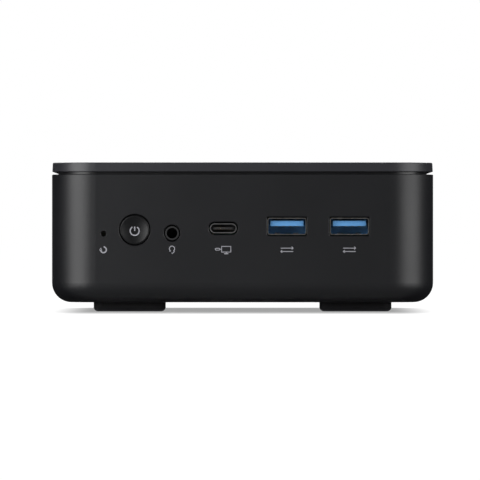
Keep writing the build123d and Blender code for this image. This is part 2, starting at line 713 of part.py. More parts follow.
def fan_rotor():
    """Hub with backward-leaning blades."""
    hub = rod_z(0, 0, 10.0, 18.0, HUB_R) - rod_z(0, 0, 11.2, 19, HUB_R - 1.2)
    hub -= rod_z(0, 0, 9, 12, SHAFT_R)
    length = ROTOR_R - HUB_R + 2
    blades = []
    for step in range(BLADES):
        angle = 360 * step / BLADES
        x = (HUB_R - 1) * cos(radians(angle))
        y = (HUB_R - 1) * sin(radians(angle))
        blade = box(0, length, -0.4, 0.4, 10.4, 18.0)
        blades.append(Pos(x, y, 0) * Rot(0, 0, angle - 25) * blade)
    wheel = hub + [blade - rod_z(0, 0, 9, 19, HUB_R - 0.6) for blade in blades]
    return Pos(FAN_X, FAN_Y, 0) * wheel


def fan_screws():
    """Screws that hang the blower from the board."""
    return group([Pos(x, y, 16.5) * pan_screw(9.7, 2.1, 1.4) for x, y in FAN_FIXINGS])


# Rear ports


def power_inlet():
    """Barrel power socket with its centre pin."""
    x = POWER_INLET_X
    z = BOARD_TOP + 4.5
    body = box(x - 4.5, x + 4.5, 48, REAR_FACE, BOARD_TOP, BOARD_TOP + 9)
    body -= rod_y(x, z, 52, 70, 3.15)
    return body + rod_y(x, z, 51, REAR_FACE - 1, 1.25)


def port(x, outline, opening, tongue, y0, height):
    """Rear port: shell of the given outline with an opening and a contact tongue in it."""
    z = BOARD_TOP + height / 2
    shell = along_y(outline, x, z, y0, REAR_FACE) - along_y(opening, x, z, y0 + 2, REAR_FACE + 1)
    return shell + along_y(tongue, x, z, y0 + 1, REAR_FACE - 1.2)


def hdmi_outline(width, height, slope):
    """Wide outline with both lower corners cut off."""
    half = width / 2
    low = -height / 2
    points = [(-half, -low), (-half, low + slope), (slope - half, low), (half - slope, low)]
    return Polygon(*points, (half, low + slope), (half, -low), align=None)


def hdmi_port():
    """HDMI port."""
    outline = hdmi_outline(15.0, 5.6, 1.7)
    opening = hdmi_outline(14.0, 4.6, 1.5)
    return port(HDMI_X, outline, opening, Pos(0, 0.45) * Rectangle(10.8, 1.5), 50, 5.6)


def display_outline(width, height, slope):
    """Wide outline with one lower corner cut off."""
    half = width / 2
    low = -height / 2
    points = [(-half, -low), (-half, low + slope), (slope - half, low), (half, low)]
    return Polygon(*points, (half, -low), align=None)


def display_port():
    """DisplayPort socket."""
    outline = display_outline(16.9, 6.0, 2.2)
    opening = display_outline(16.1, 5.0, 2.0)
    return port(DISPLAY_X, outline, opening, Pos(0, 0.5) * Rectangle(13.0, 1.5), 50, 6.0)


def network_jack():
    """Network socket with the notch for the plug's latch."""
    x = NETWORK_X
    body = box(x - 8, x + 8, 46.5, REAR_FACE, BOARD_TOP, BOARD_TOP + 13.5)
    body -= box(x - 5.9, x + 5.9, 49, 70, 28.6, 35.4)
    return body - box(x - 3, x + 3, 49, 70, 35, 37.4)


def rear_usb_places():
    """Heights of the two stacked USB-A openings."""
    return (30.2, 37.8)


def rear_usb_shell():
    """Block of two stacked USB-A ports."""
    x = REAR_USB_X
    shell = box(x - 7.1, x + 7.1, 46, REAR_FACE, BOARD_TOP, BOARD_TOP + 15.4)
    for z in rear_usb_places():
        shell -= along_y(RectangleRounded(*USB_A_INNER, 0.5), x, z, 49, 70)
    return shell


def rear_usb_tongues():
    """Contact tongues of the stacked USB-A ports."""
    x = REAR_USB_X
    return group([box(x - 5.55, x + 5.55, 49, 60.4, z + 0.1, z + 1.85) for z in rear_usb_places()])


def nodes():
    """Name of every node and its shape."""
    shapes = {
        "housing": housing(),
        "neck_frame": neck_frame(),
        "top_cover": top_cover(),
        "bottom_cover": bottom_cover(),
        "rear_panel": rear_panel(),
        "bottom_cover_screws": bottom_cover_screws(),
        "neck_frame_screws": neck_frame_screws(),
        "rear_panel_screws": rear_panel_screws(),
        "mounting_inserts": mounting_inserts(),
        "power_button": power_button(),
        "button_guide": button_guide(),
        "power_switch": power_switch(),
        "power_switch_plunger": power_switch_plunger(),
        "reset_switch": reset_switch(),
        "reset_switch_plunger": reset_switch_plunger(),
        "audio_jack": audio_jack(),
        "audio_jack_ring": audio_jack_ring(),
        "usb_c_shell": usb_c_shell(),
        "usb_c_tongue": usb_c_tongue(),
        "usb_a_left_shell": usb_a_shell(*USB_A_LEFT),
        "usb_a_left_tongue": usb_a_tongue(*USB_A_LEFT),
        "usb_a_right_shell": usb_a_shell(*USB_A_RIGHT),
        "usb_a_right_tongue": usb_a_tongue(*USB_A_RIGHT),
        "mainboard": mainboard(),
        "board_screws": board_screws(),
        "processor": processor(),
        "memory_socket_lower": memory_socket(-4, 30.6, BOARD_TOP),
        "memory_socket_upper": memory_socket(3.2, 36.2, 32.0),
        "memory_module_lower": memory_module(-4, 30.6),
        "memory_module_upper": memory_module(3.2, 36.2),
        "drive_socket": drive_socket(),
        "solid_state_drive": solid_state_drive(),
        "radio_socket": radio_socket(),
        "radio_card": radio_card(),
        "card_screws": card_screws(),
        "antenna_left": antenna(-1),
        "antenna_right": antenna(1),
        "antenna_leads": antenna_leads(),
        "clock_cell_holder": clock_cell_holder(),
        "clock_cell": clock_cell(),
        "cold_plate": cold_plate(),
        "heat_pipes": heat_pipes(),
        "fin_stack": fin_stack(),
        "cooler_screws": cooler_screws(),
        "fan_housing": fan_housing(),
        "fan_cover": fan_cover(),
        "fan_bearing": fan_bearing(),
        "fan_shaft": fan_shaft(),
        "fan_rotor": fan_rotor(),
        "fan_screws": fan_screws(),
        "power_inlet": power_inlet(),
        "hdmi_port": hdmi_port(),
        "display_port": display_port(),
        "network_jack": network_jack(),
        "rear_usb_shell": rear_usb_shell(),
        "rear_usb_tongues": rear_usb_tongues(),
    }
    for name, (x, y) in foot_places().items():
        shapes[name] = foot(x, y)
    return shapes


os.makedirs("parts", exist_ok=True)
for node, shape in nodes().items():
    shape.label = node
    export_step(shape, f"parts/{node}.step")
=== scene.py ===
"""Studio model of a small square desktop computer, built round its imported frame.

Every size is in metres and in the frame's own axes: +X is right as seen from the front, the
front faces -Y, +Z is up and the feet stand on Z zero.
"""

import json
import logging
from collections.abc import Callable, Sequence
from dataclasses import dataclass
from enum import Enum
from math import cos, pi, radians, sin
from typing import ClassVar

import bmesh
import bpy
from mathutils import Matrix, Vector


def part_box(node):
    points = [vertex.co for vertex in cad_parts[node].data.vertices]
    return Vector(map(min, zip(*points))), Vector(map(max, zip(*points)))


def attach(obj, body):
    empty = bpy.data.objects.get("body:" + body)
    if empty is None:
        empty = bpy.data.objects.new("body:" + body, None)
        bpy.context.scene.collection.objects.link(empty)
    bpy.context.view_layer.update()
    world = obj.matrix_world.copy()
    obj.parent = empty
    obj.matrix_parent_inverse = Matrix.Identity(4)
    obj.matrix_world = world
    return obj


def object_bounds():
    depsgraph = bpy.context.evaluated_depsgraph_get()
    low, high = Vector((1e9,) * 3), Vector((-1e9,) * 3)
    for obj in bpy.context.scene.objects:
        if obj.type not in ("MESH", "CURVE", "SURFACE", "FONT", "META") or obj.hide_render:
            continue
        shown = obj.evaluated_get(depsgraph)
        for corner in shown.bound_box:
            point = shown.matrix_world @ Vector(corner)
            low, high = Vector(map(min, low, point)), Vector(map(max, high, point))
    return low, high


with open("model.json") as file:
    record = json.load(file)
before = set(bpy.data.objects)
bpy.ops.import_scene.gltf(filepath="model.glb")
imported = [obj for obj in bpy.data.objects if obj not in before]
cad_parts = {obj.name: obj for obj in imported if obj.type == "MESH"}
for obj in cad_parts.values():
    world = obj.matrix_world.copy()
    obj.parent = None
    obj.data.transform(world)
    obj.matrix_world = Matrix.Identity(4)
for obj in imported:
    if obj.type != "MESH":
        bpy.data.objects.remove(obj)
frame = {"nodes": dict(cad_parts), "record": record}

CAD_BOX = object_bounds()
MM = 0.001
CASE = "case"

log = logging.getLogger("mini_pc")

Point = tuple[float, float]
Colour = tuple[float, float, float]


class Facing(Enum):
    """Which way a panel faces along Y."""

    FRONT = -1
    BACK = 1


# Shader maths


class Value:
    """A number socket that Python's operators work on."""

    def __init__(self, tree: bpy.types.NodeTree, socket: bpy.types.NodeSocket) -> None:
        """Wraps a socket.

        Args:
            tree: the tree that new nodes go in.
            socket: the output that holds the number.
        """
        self.tree = tree
        self.socket = socket

    def maths(self, operation: str, first: "Value | float", second: "Value | float") -> "Value":
        """Adds one Math node.

        Args:
            operation: the node's operation.
            first: its first input.
            second: its second input.

        Returns:
            The node's result.
        """
        node = self.tree.nodes.new("ShaderNodeMath")
        node.operation = operation
        for socket, given in zip(node.inputs, (first, second)):
            if isinstance(given, Value):
                self.tree.links.new(given.socket, socket)
            else:
                socket.default_value = given
        return Value(self.tree, node.outputs[0])

    def __add__(self, other: "Value | float") -> "Value":
        """Sum.

        Args:
            other: what is added.

        Returns:
            The sum.
        """
        return self.maths("ADD", self, other)

    __radd__ = __add__

    def __sub__(self, other: "Value | float") -> "Value":
        """Difference.

        Args:
            other: what is taken away.

        Returns:
            The difference.
        """
        return self.maths("SUBTRACT", self, other)

    def __rsub__(self, other: "Value | float") -> "Value":
        """Difference from a number.

        Args:
            other: what this is taken from.

        Returns:
            The difference.
        """
        return self.maths("SUBTRACT", other, self)

    def __mul__(self, other: "Value | float") -> "Value":
        """Product.

        Args:
            other: what it is multiplied by.

        Returns:
            The product.
        """
        return self.maths("MULTIPLY", self, other)

    __rmul__ = __mul__

    def __gt__(self, other: "Value | float") -> "Value":
        """One where it is greater, and zero elsewhere.

        Args:
            other: what it is compared with.

        Returns:
            The one or zero.
        """
        return self.maths("GREATER_THAN", self, other)


class Recipe:
    """The node tree of one material while it is written."""

    def __init__(self, name: str) -> None:
        """Starts a material with its shader and output.

        Args:
            name: the material's name.
        """
        self.material = bpy.data.materials.new(name)
        self.material.use_nodes = True
        self.tree = self.material.node_tree
        self.tree.nodes.clear()
        self.shader = self.node("ShaderNodeBsdfPrincipled", {}, {})
        self.output = self.node("ShaderNodeOutputMaterial", {}, {"Surface": self.shader.outputs[0]})
        self.place = self.node("ShaderNodeTexCoord", {}, {}).outputs["Object"]

    def node(self, kind: str, settings: dict, sockets: dict) -> bpy.types.Node:
        """Adds one node.

        Args:
            kind: the node's type.
            settings: its own settings, set first.
            sockets: a value, a Value or a link for each named input.

        Returns:
            The node.
        """
        node = self.tree.nodes.new(kind)
        for name, given in settings.items():
            setattr(node, name, given)
        for name, given in sockets.items():
            if isinstance(given, Value):
                given = given.socket
            if isinstance(given, bpy.types.NodeSocket):
                self.tree.links.new(given, node.inputs[name])
            else:
                node.inputs[name].default_value = given
        return node

    def value(self, node: bpy.types.Node, output: str | int = 0) -> Value:
        """One output of a node as a number to reckon with.

        Args:
            node: the node.
            output: which of its outputs.

        Returns:
            The number.
        """
        return Value(self.tree, node.outputs[output])

    def stretched(self, stretch: tuple[float, float, float]) -> bpy.types.NodeSocket:
        """The piece's coordinates, scaled along each axis.

        Args:
            stretch: scale along each axis.

        Returns:
            The scaled coordinates.
        """
        mapping = self.node("ShaderNodeMapping", {}, {"Vector": self.place, "Scale": stretch})
        return mapping.outputs[0]

    def noise(
        self,
        size: float,
        detail: float = 2.0,
        stretch: tuple[float, float, float] = (1.0, 1.0, 1.0),
    ) -> Value:
        """Soft noise whose blotches are about the given size.

        Args:
            size: blotch size in metres.
            detail: octaves of finer noise.
            stretch: scale along each axis.

        Returns:
            Numbers round one half.
        """
        sockets = {"Vector": self.stretched(stretch), "Scale": 1 / size, "Detail": detail}
        return self.value(self.node("ShaderNodeTexNoise", {}, sockets))

    def pits(self, size: float) -> Value:
        """Cell pattern, zero in the middle of each cell.

        Args:
            size: size of a cell in metres.

        Returns:
            Distance from the cell's middle.
        """
        sockets = {"Vector": self.place, "Scale": 1 / size}
        return self.value(self.node("ShaderNodeTexVoronoi", {}, sockets))

    def blend(self, factor: Value, first: Colour, second: Colour) -> bpy.types.NodeSocket:
        """A colour between two, by a factor.

        Args:
            factor: zero for the first colour and one for the second.
            first: first colour.
            second: second colour.

        Returns:
            The mixed colour.
        """
        node = self.node("ShaderNodeMix", {"data_type": "RGBA"}, {"Factor": factor})
        node.inputs[6].default_value = (*first, 1.0)
        node.inputs[7].default_value = (*second, 1.0)
        return node.outputs[2]

    def set(self, **given: object) -> None:
        """Sets or links sockets of the shader.

        Args:
            given: a value or link for each socket, named with underscores for spaces.
        """
        for name, what in given.items():
            socket = self.shader.inputs[name.replace("_", " ")]
            if isinstance(what, Value):
                what = what.socket
            if isinstance(what, bpy.types.NodeSocket):
                self.tree.links.new(what, socket)
            else:
                socket.default_value = what

    def relief(self, height: Value, depth: float, strength: float) -> None:
        """Bumps the surface.

        Args:
            height: the relief, zero to one.
            depth: its full depth in metres.
            strength: share of it that shows.
        """
        sockets = {"Height": height, "Distance": depth, "Strength": strength}
        self.set(Normal=self.node("ShaderNodeBump", {}, sockets).outputs[0])


# Finishes


def tinted(colour: Colour, share: float) -> Colour:
    """A colour made lighter or darker.

    Args:
        colour: the colour.
        share: how much of itself is added.

    Returns:
        The new colour.
    """
    return tuple(channel * (1 + share) for channel in colour)


@dataclass(frozen=True)
class Finish:
    """A finish that makes its material once.

    Attributes:
        name: the material's name.
        colour: its main colour.
        roughness: its mean roughness.
    """

    name: str
    colour: Colour
    roughness: float
    made: ClassVar[dict[str, bpy.types.Material]] = {}

    def material(self) -> bpy.types.Material:
        """The finish's material, made at the first call.

        Returns:
            The material.
        """
        if self.name not in self.made:
            recipe = Recipe(self.name)
            self.write(recipe)
            self.made[self.name] = recipe.material
        return self.made[self.name]

    def write(self, recipe: Recipe) -> None:
        """Fills in the material's nodes. Each finish has its own.

        Args:
            recipe: the material's nodes, which it adds to.
        """
        raise NotImplementedError


@dataclass(frozen=True)
class MouldedPlastic(Finish):
    """Plastic with the fine spark-eroded texture of its mould.

    Attributes:
        grain: size of the texture in metres.
        depth: depth of the texture in metres.
        specular: strength of its shine.
    """

    grain: float = 0.28 * MM
    depth: float = 0.02 * MM
    specular: float = 0.5

    def write(self, recipe: Recipe) -> None:
        """Speckled colour, uneven sheen and a fine relief.

        Args:
            recipe: the material's nodes, which it adds to.
        """
        fine = recipe.noise(self.grain, 3.0)
        cells = recipe.pits(self.grain * 1.6)
        slow = recipe.noise(18 * MM, 2.0)
        speckle = fine * 0.6 + slow * 0.4
        recipe.set(
            Base_Color=recipe.blend(speckle, tinted(self.colour, -0.22), tinted(self.colour, 0.22)),
            Roughness=fine * 0.10 + slow * 0.06 + (self.roughness - 0.08),
            Specular_IOR_Level=self.specular,
        )
        recipe.relief(fine * 0.65 + cells * 0.35, self.depth, 0.35)


@dataclass(frozen=True)
class SmoothPlastic(Finish):
    """Plain moulded plastic with faint flow marks."""

    def write(self, recipe: Recipe) -> None:
        """Flow marks in the colour and the sheen.

        Args:
            recipe: the material's nodes, which it adds to.
        """
        flow = recipe.noise(2.4 * MM, 3.0, (0.4, 1.0, 1.0))
        fine = recipe.noise(0.12 * MM, 2.0)
        recipe.set(
            Base_Color=recipe.blend(flow, tinted(self.colour, -0.1), tinted(self.colour, 0.1)),
            Roughness=flow * 0.1 + (self.roughness - 0.05),
        )
        recipe.relief(fine, 0.006 * MM, 0.3)


@dataclass(frozen=True)
class Rubber(Finish):
    """Soft matt rubber, a little dusty."""

    def write(self, recipe: Recipe) -> None:
        """Dusty patches over a close matt grain.

        Args:
            recipe: the material's nodes, which it adds to.
        """
        dust = recipe.noise(5 * MM, 4.0)
        fine = recipe.noise(0.2 * MM, 3.0)
        recipe.set(
            Base_Color=recipe.blend(dust, tinted(self.colour, -0.25), tinted(self.colour, 0.5)),
            Roughness=fine * 0.12 + dust * 0.1 + (self.roughness - 0.1),
            Specular_IOR_Level=0.3,
        )
        recipe.relief(fine, 0.03 * MM, 0.5)


@dataclass(frozen=True)
class Metal(Finish):
    """Bare or plated metal with fine drawn lines and smudges.

    Attributes:
        drawn: how the lines are stretched along each axis.
    """

    drawn: tuple[float, float, float] = (1.0, 12.0, 12.0)

    def write(self, recipe: Recipe) -> None:
        """Drawn lines in the sheen and relief, and smudges in the colour.

        Args:
            recipe: the material's nodes, which it adds to.
        """
        lines = recipe.noise(1.2 * MM, 3.0, self.drawn)
        smudge = recipe.noise(3.0 * MM, 3.0)
        recipe.set(
            Base_Color=recipe.blend(smudge, tinted(self.colour, -0.12), tinted(self.colour, 0.08)),
            Metallic=1.0,
            Roughness=lines * 0.12 + smudge * 0.1 + (self.roughness - 0.11),
        )
        recipe.relief(lines, 0.008 * MM, 0.35)


@dataclass(frozen=True)
class PaintedSheet(Finish):
    """Sheet metal under a fine textured paint."""

    def write(self, recipe: Recipe) -> None:
        """Orange-peel relief and a faintly mottled paint.

        Args:
            recipe: the material's nodes, which it adds to.
        """
        peel = recipe.noise(0.5 * MM, 2.0)
        slow = recipe.noise(12 * MM, 3.0)
        recipe.set(
            Base_Color=recipe.blend(slow, tinted(self.colour, -0.15), tinted(self.colour, 0.15)),
            Roughness=peel * 0.12 + slow * 0.06 + (self.roughness - 0.09),
        )
        recipe.relief(peel, 0.03 * MM, 0.4)


@dataclass(frozen=True)
class CircuitBoard(Finish):
    """Solder mask over copper tracks, with bare pads."""

    def write(self, recipe: Recipe) -> None:
        """Lighter tracks in blocks, and plated pads at their ends.

        Args:
            recipe: the material's nodes, which it adds to.
        """
        sockets = {
            "Vector": recipe.place,
            "Scale": 1 / (9 * MM),
            "Mortar Size": 0.03,
            "Mortar Smooth": 0.1,
            "Brick Width": 0.9,
            "Row Height": 0.12,
        }
        tracks = recipe.value(recipe.node("ShaderNodeTexBrick", {}, sockets), "Fac")
        pads = 0.16 - recipe.pits(2.1 * MM) > 0.0
        grain = recipe.noise(0.6 * MM, 2.0)
        masked = recipe.blend(tracks, self.colour, tinted(self.colour, 0.9))
        mixed = recipe.node("ShaderNodeMix", {"data_type": "RGBA"}, {"Factor": pads})
        recipe.tree.links.new(masked, mixed.inputs[6])
        mixed.inputs[7].default_value = (0.62, 0.5, 0.28, 1.0)
        recipe.set(
            Base_Color=mixed.outputs[2],
            Metallic=pads * 0.9,
            Roughness=grain * 0.1 + (self.roughness - 0.05),
        )
        recipe.relief(tracks + pads, 0.03 * MM, 0.4)


@dataclass(frozen=True)
class PrintedInk(Finish):
    """Pad-printed ink with slightly uneven cover."""

    def write(self, recipe: Recipe) -> None:
        """Uneven cover in the colour and the sheen.

        Args:
            recipe: the material's nodes, which it adds to.
        """
        cover = recipe.noise(0.35 * MM, 3.0)
        recipe.set(
            Base_Color=recipe.blend(cover, tinted(self.colour, -0.14), tinted(self.colour, 0.1)),
            Roughness=cover * 0.15 + (self.roughness - 0.08),
            Specular_IOR_Level=0.3,
        )
        recipe.relief(cover, 0.01 * MM, 0.3)


@dataclass(frozen=True)
class LightTableWithPaintedShadow(Finish):
    """Opal sheet of the studio floor that glows evenly all round the case, with a painted shadow: its
    glow is turned down under the case and in front of it.

    It is clear from below, so that the underside of the case can be looked at, and it lets the
    lamp under it through where the flat of the case covers it.

    Attributes:
        core: half width and half depth of the middle, where the painted shadow is darkest.
        fade: how far the painted shadow takes to fade out at the sides.
        fade_front: the same in front, where the painted shadow reaches furthest, as if cast by the light
            from the back.
        fade_back: the same behind.
        window: half width and half depth of the part that the lamp under it shines through.
        dim: glow of the middle, turned down as a painted shadow.
        bright: glow of the rest.
    """

    core: Point = (50 * MM, 63.5 * MM)
    fade: float = 17 * MM
    fade_front: float = 110 * MM
    fade_back: float = 30 * MM
    window: Point = (57.5 * MM, 52.0 * MM)
    dim: float = 0.36
    bright: float = 0.98

    def write(self, recipe: Recipe) -> None:
        """Glow that grows with the distance from the middle, which paints a soft shadow round the case,
        and a faint cloud in the opal.

        Args:
            recipe: the material's nodes, which it adds to.
        """
        cloud = recipe.noise(30 * MM, 3.0)
        recipe.set(
            Base_Color=recipe.blend(cloud, tinted(self.colour, -0.02), tinted(self.colour, 0.02)),
            Roughness=cloud * 0.05 + self.roughness,
            Specular_IOR_Level=0.0,
            Emission_Strength=1.0,
        )
        # Painted shadow: the glow is dimmed near the case, most under it and in front of it, and grows
        # to full brightness further out.
        split = recipe.node("ShaderNodeSeparateXYZ", {}, {"Vector": recipe.place})
        right, back = recipe.value(split, 0), recipe.value(split, 1)
        out = right.maths("ABSOLUTE", right, 0.0)
        aside = out.maths("MAXIMUM", out - self.core[0], 0.0) * (1 / self.fade)
        before = back.maths("MAXIMUM", -self.core[1] - back, 0.0) * (1 / self.fade_front)
        behind = back.maths("MAXIMUM", back - self.core[1], 0.0) * (1 / self.fade_back)
        along = before + behind
        reach = out.maths("SQRT", aside * aside + along * along, 0.0)
        sockets = {"Value": reach, "To Min": self.dim, "To Max": self.bright}
        glow = recipe.node("ShaderNodeMapRange", {"interpolation_type": "SMOOTHSTEP"}, sockets)
        level = recipe.value(glow)
        # The painted shadow goes into the emission colour.
        recipe.set(Emission_Color=recipe.blend(level, (0.0, 0.0, 0.0), (1.0, 1.0, 1.0)))
        under = recipe.value(recipe.node("ShaderNodeNewGeometry", {}, {}), "Backfacing")
        shadow = recipe.value(recipe.node("ShaderNodeLightPath", {}, {}), "Is Shadow Ray")
        deep = back.maths("ABSOLUTE", back, 0.0)
        covered = (self.window[0] - out > 0.0) * (self.window[1] - deep > 0.0)
        clear = recipe.node("ShaderNodeBsdfTransparent", {}, {}).outputs[0]
        factor = under + shadow * covered
        both = recipe.node("ShaderNodeMixShader", {}, {0: factor, 1: recipe.shader.outputs[0], 2: clear})
        recipe.tree.links.new(both.outputs[0], recipe.output.inputs["Surface"])


CASE_PLASTIC = MouldedPlastic("case_plastic_textured", (0.0038, 0.0041, 0.0054), 0.46, specular=0.47)
LID_PLASTIC = MouldedPlastic("lid_plastic_textured", (0.019, 0.0195, 0.0235), 0.45)
NECK_PLASTIC = SmoothPlastic("neck_plastic_smooth", (0.010, 0.010, 0.011), 0.4)
COVER_PLASTIC = MouldedPlastic("cover_plastic_textured", (0.013, 0.013, 0.014), 0.55, 0.5 * MM)
BUTTON_PLASTIC = MouldedPlastic(
    "button_plastic", (0.003, 0.0032, 0.0038), 0.4, grain=0.2 * MM, specular=0.32
)
INNER_PLASTIC = SmoothPlastic("inner_plastic", (0.012, 0.012, 0.012), 0.5)
JACK_PLASTIC = SmoothPlastic("jack_plastic", (0.006, 0.006, 0.006), 0.45)
RING_PLASTIC = SmoothPlastic("ring_plastic", (0.03, 0.03, 0.031), 0.3)
PLUNGER_PLASTIC = SmoothPlastic("plunger_plastic", (0.62, 0.58, 0.5), 0.5)
BLUE_PLASTIC = SmoothPlastic("blue_plastic", (0.115, 0.33, 0.66), 0.42)
BLACK_TONGUE = SmoothPlastic("black_tongue_plastic", (0.02, 0.02, 0.021), 0.4)
FOOT_RUBBER = Rubber("foot_rubber_matt", (0.007, 0.007, 0.008), 0.72)
PANEL_PAINT = PaintedSheet("panel_paint", (0.014, 0.014, 0.015), 0.5)
SCREW_BLACK = Metal("black_screw_metal", (0.06, 0.06, 0.062), 0.42)
STEEL = Metal("plain_steel", (0.58, 0.58, 0.6), 0.34)
NICKEL = Metal("nickel_plate", (0.58, 0.57, 0.54), 0.26)
DARK_NICKEL = Metal("dark_nickel_plate", (0.42, 0.42, 0.42), 0.33)
BRASS = Metal("turned_brass", (0.66, 0.47, 0.2), 0.3)
GOLD = Metal("gold_contact", (0.85, 0.62, 0.28), 0.22)
COPPER = Metal("bare_copper", (0.68, 0.33, 0.2), 0.3)
ALUMINIUM = Metal("plain_aluminium", (0.68, 0.68, 0.7), 0.35)
BOARD = CircuitBoard("circuit_board", (0.012, 0.05, 0.028), 0.4)
CHIP = SmoothPlastic("chip_package", (0.02, 0.02, 0.02), 0.55)
AERIAL = SmoothPlastic("aerial_film", (0.55, 0.42, 0.18), 0.4)
JACKET = SmoothPlastic("lead_jacket_plastic", (0.16, 0.16, 0.16), 0.45)
INK = PrintedInk("printed_ink", (0.32, 0.32, 0.35), 0.6)
GREEN_LENS = SmoothPlastic("green_lens", (0.1, 0.5, 0.14), 0.25)
AMBER_LENS = SmoothPlastic("amber_lens", (0.75, 0.36, 0.05), 0.25)
# Floor that glows white, with a painted shadow round the case.
FLOOR_OPAL_PAINTED_SHADOW = LightTableWithPaintedShadow("floor_opal_painted_shadow", (0.1, 0.1, 0.1), 0.9)

SLOT_FINISH: dict[str, Finish] = {
    "case_plastic": CASE_PLASTIC,
    "lid_plastic": LID_PLASTIC,
    "neck_plastic": NECK_PLASTIC,
    "cover_plastic": COVER_PLASTIC,
    "panel_metal": PANEL_PAINT,
    "foot_rubber": FOOT_RUBBER,
    "black_screw": SCREW_BLACK,
    "steel": STEEL,
    "nickel": NICKEL,
    "brass": BRASS,
    "button_plastic": BUTTON_PLASTIC,
    "inner_plastic": INNER_PLASTIC,
    "switch_plastic": INNER_PLASTIC,
    "plunger_plastic": PLUNGER_PLASTIC,
    "jack_plastic": JACK_PLASTIC,
    "tongue_blue": BLUE_PLASTIC,
    "tongue_black": BLACK_TONGUE,
    "board": BOARD,
    "chip": CHIP,
    "copper": COPPER,
    "aluminium": ALUMINIUM,
    "aerial": AERIAL,
    "lead_jacket": JACKET,
    "cell_steel": STEEL,
}


# Bench: modelling by operators


def clear_selection() -> None:
    """Leaves edit mode and deselects everything, the frame's nodes included."""
    if bpy.context.object and bpy.context.object.mode != "OBJECT":
        bpy.ops.object.mode_set(mode="OBJECT")
    bpy.ops.object.select_all(action="DESELECT")


def settle(name: str) -> bpy.types.Object:
    """Names the active object and puts its place into its mesh.

    Args:
        name: the piece's name.

    Returns:
        The object, at the origin and unturned.
    """
    bpy.ops.object.transform_apply(location=True, rotation=True, scale=True)
    obj = bpy.context.object
    obj.name = name
    return obj


def bevel_all(obj: bpy.types.Object, offset: float, segments: int = 2) -> None:
    """Rounds every edge sharper than thirty degrees.

    Args:
        obj: the object, which is active.
        offset: width of the rounding in metres.
        segments: steps across it.
    """
    modifier = obj.modifiers.new("rounding", "BEVEL")
    modifier.width = offset
    modifier.segments = segments
    modifier.limit_method = "ANGLE"
    modifier.angle_limit = radians(30)
    bpy.context.view_layer.objects.active = obj
    bpy.ops.object.modifier_apply(modifier=modifier.name)


def block(name: str, low: Vector, high: Vector, rounding: float = 0.0) -> bpy.types.Object:
    """A rounded block between two corners.

    Args:
        name: the piece's name.
        low: its lowest corner.
        high: its highest corner.
        rounding: width of the edge rounding.

    Returns:
        The block.
    """
    clear_selection()
    bpy.ops.mesh.primitive_cube_add(size=1, location=(low + high) / 2, scale=high - low)
    obj = settle(name)
    if rounding:
        bevel_all(obj, rounding)
    return obj


def select_faces(obj: bpy.types.Object, wanted: Callable[[Vector, Vector], bool]) -> None:
    """Selects faces in edit mode by their centre and normal.

    Args:
        obj: the object, which is in edit mode.
        wanted: says whether a face with this centre and normal is selected.
    """
    bpy.ops.mesh.select_all(action="DESELECT")
    mesh = bmesh.from_edit_mesh(obj.data)
    for face in mesh.faces:
        face.select_set(wanted(face.calc_center_median(), face.normal))
    bmesh.update_edit_mesh(obj.data)


def sleeve(
    name: str, centre: Vector, outer: float, inner: float, reach: float, sides: int = 48
) -> bpy.types.Object:
    """A sleeve along Y with a bored mouth that faces -Y before it is turned.

    Args:
        name: the piece's name.
        centre: middle of the sleeve.
        outer: outside radius.
        inner: bore radius.
        reach: length along Y.
        sides: faces round it.

    Returns:
        The sleeve.
    """
    clear_selection()
    bpy.ops.mesh.primitive_cylinder_add(
        vertices=sides, radius=outer, depth=reach, location=centre, rotation=(pi / 2, 0, 0)
    )
    obj = settle(name)
    bpy.ops.object.mode_set(mode="EDIT")
    select_faces(obj, lambda middle, normal: abs(normal.y) > 0.9)
    bpy.ops.mesh.inset(thickness=outer - inner, use_individual=True)
    bpy.ops.mesh.bridge_edge_loops()
    bpy.ops.object.mode_set(mode="OBJECT")
    return obj


def joined(name: str, parts: Sequence[bpy.types.Object]) -> bpy.types.Object:
    """Joins objects into one piece.

    Args:
        name: the piece's name.
        parts: what is joined.

    Returns:
        The piece.
    """
    clear_selection()
    for part in parts:
        part.select_set(True)
    bpy.context.view_layer.objects.active = parts[0]
    if len(parts) > 1:
        bpy.ops.object.join()
    parts[0].name = name
    return parts[0]


def copied(obj: bpy.types.Object, shift: Vector) -> bpy.types.Object:
    """A copy with its own mesh, moved.

    Args:
        obj: what is copied.
        shift: how far its mesh is moved.

    Returns:
        The copy.
    """
    clear_selection()
    obj.select_set(True)
    bpy.context.view_layer.objects.active = obj
    bpy.ops.object.duplicate()
    twin = bpy.context.object
    twin.location = shift
    return settle(twin.name)


def hand_over(
    obj: bpy.types.Object, finish: Finish, body: str = CASE
) -> bpy.types.Object:
    """Shades, dresses and mounts a finished piece, and reports it.

    Args:
        obj: the piece.
        finish: its finish.
        body: the body it moves with.

    Returns:
        The piece.
    """
    clear_selection()
    obj.select_set(True)
    bpy.context.view_layer.objects.active = obj
    bpy.ops.object.shade_smooth_by_angle(angle=radians(35))
    obj.data.materials.clear()
    obj.data.materials.append(finish.material())
    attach(obj, body)
    log.info("%s: %d faces, rides on %s", obj.name, len(obj.data.polygons), body)
    return obj


# Printed marks


@dataclass
class Stroke:
    """One line of a printed mark.

    Attributes:
        points: its points, right and up from the mark's centre.
        width: its width.
        closed: whether it runs back to its first point.
    """

    points: Sequence[Point]
    width: float
    closed: bool = False


def arc(centre: Point, radius: float, start: float, end: float, steps: int = 28) -> list[Point]:
    """Points along an arc, with angles in degrees from the right, anticlockwise.

    Args:
        centre: centre of the arc.
        radius: its radius.
        start: first angle.
        end: last angle.
        steps: how many spans it has.

    Returns:
        The points.
    """
    angles = [radians(start + (end - start) * step / steps) for step in range(steps + 1)]
    return [(centre[0] + radius * cos(a), centre[1] + radius * sin(a)) for a in angles]


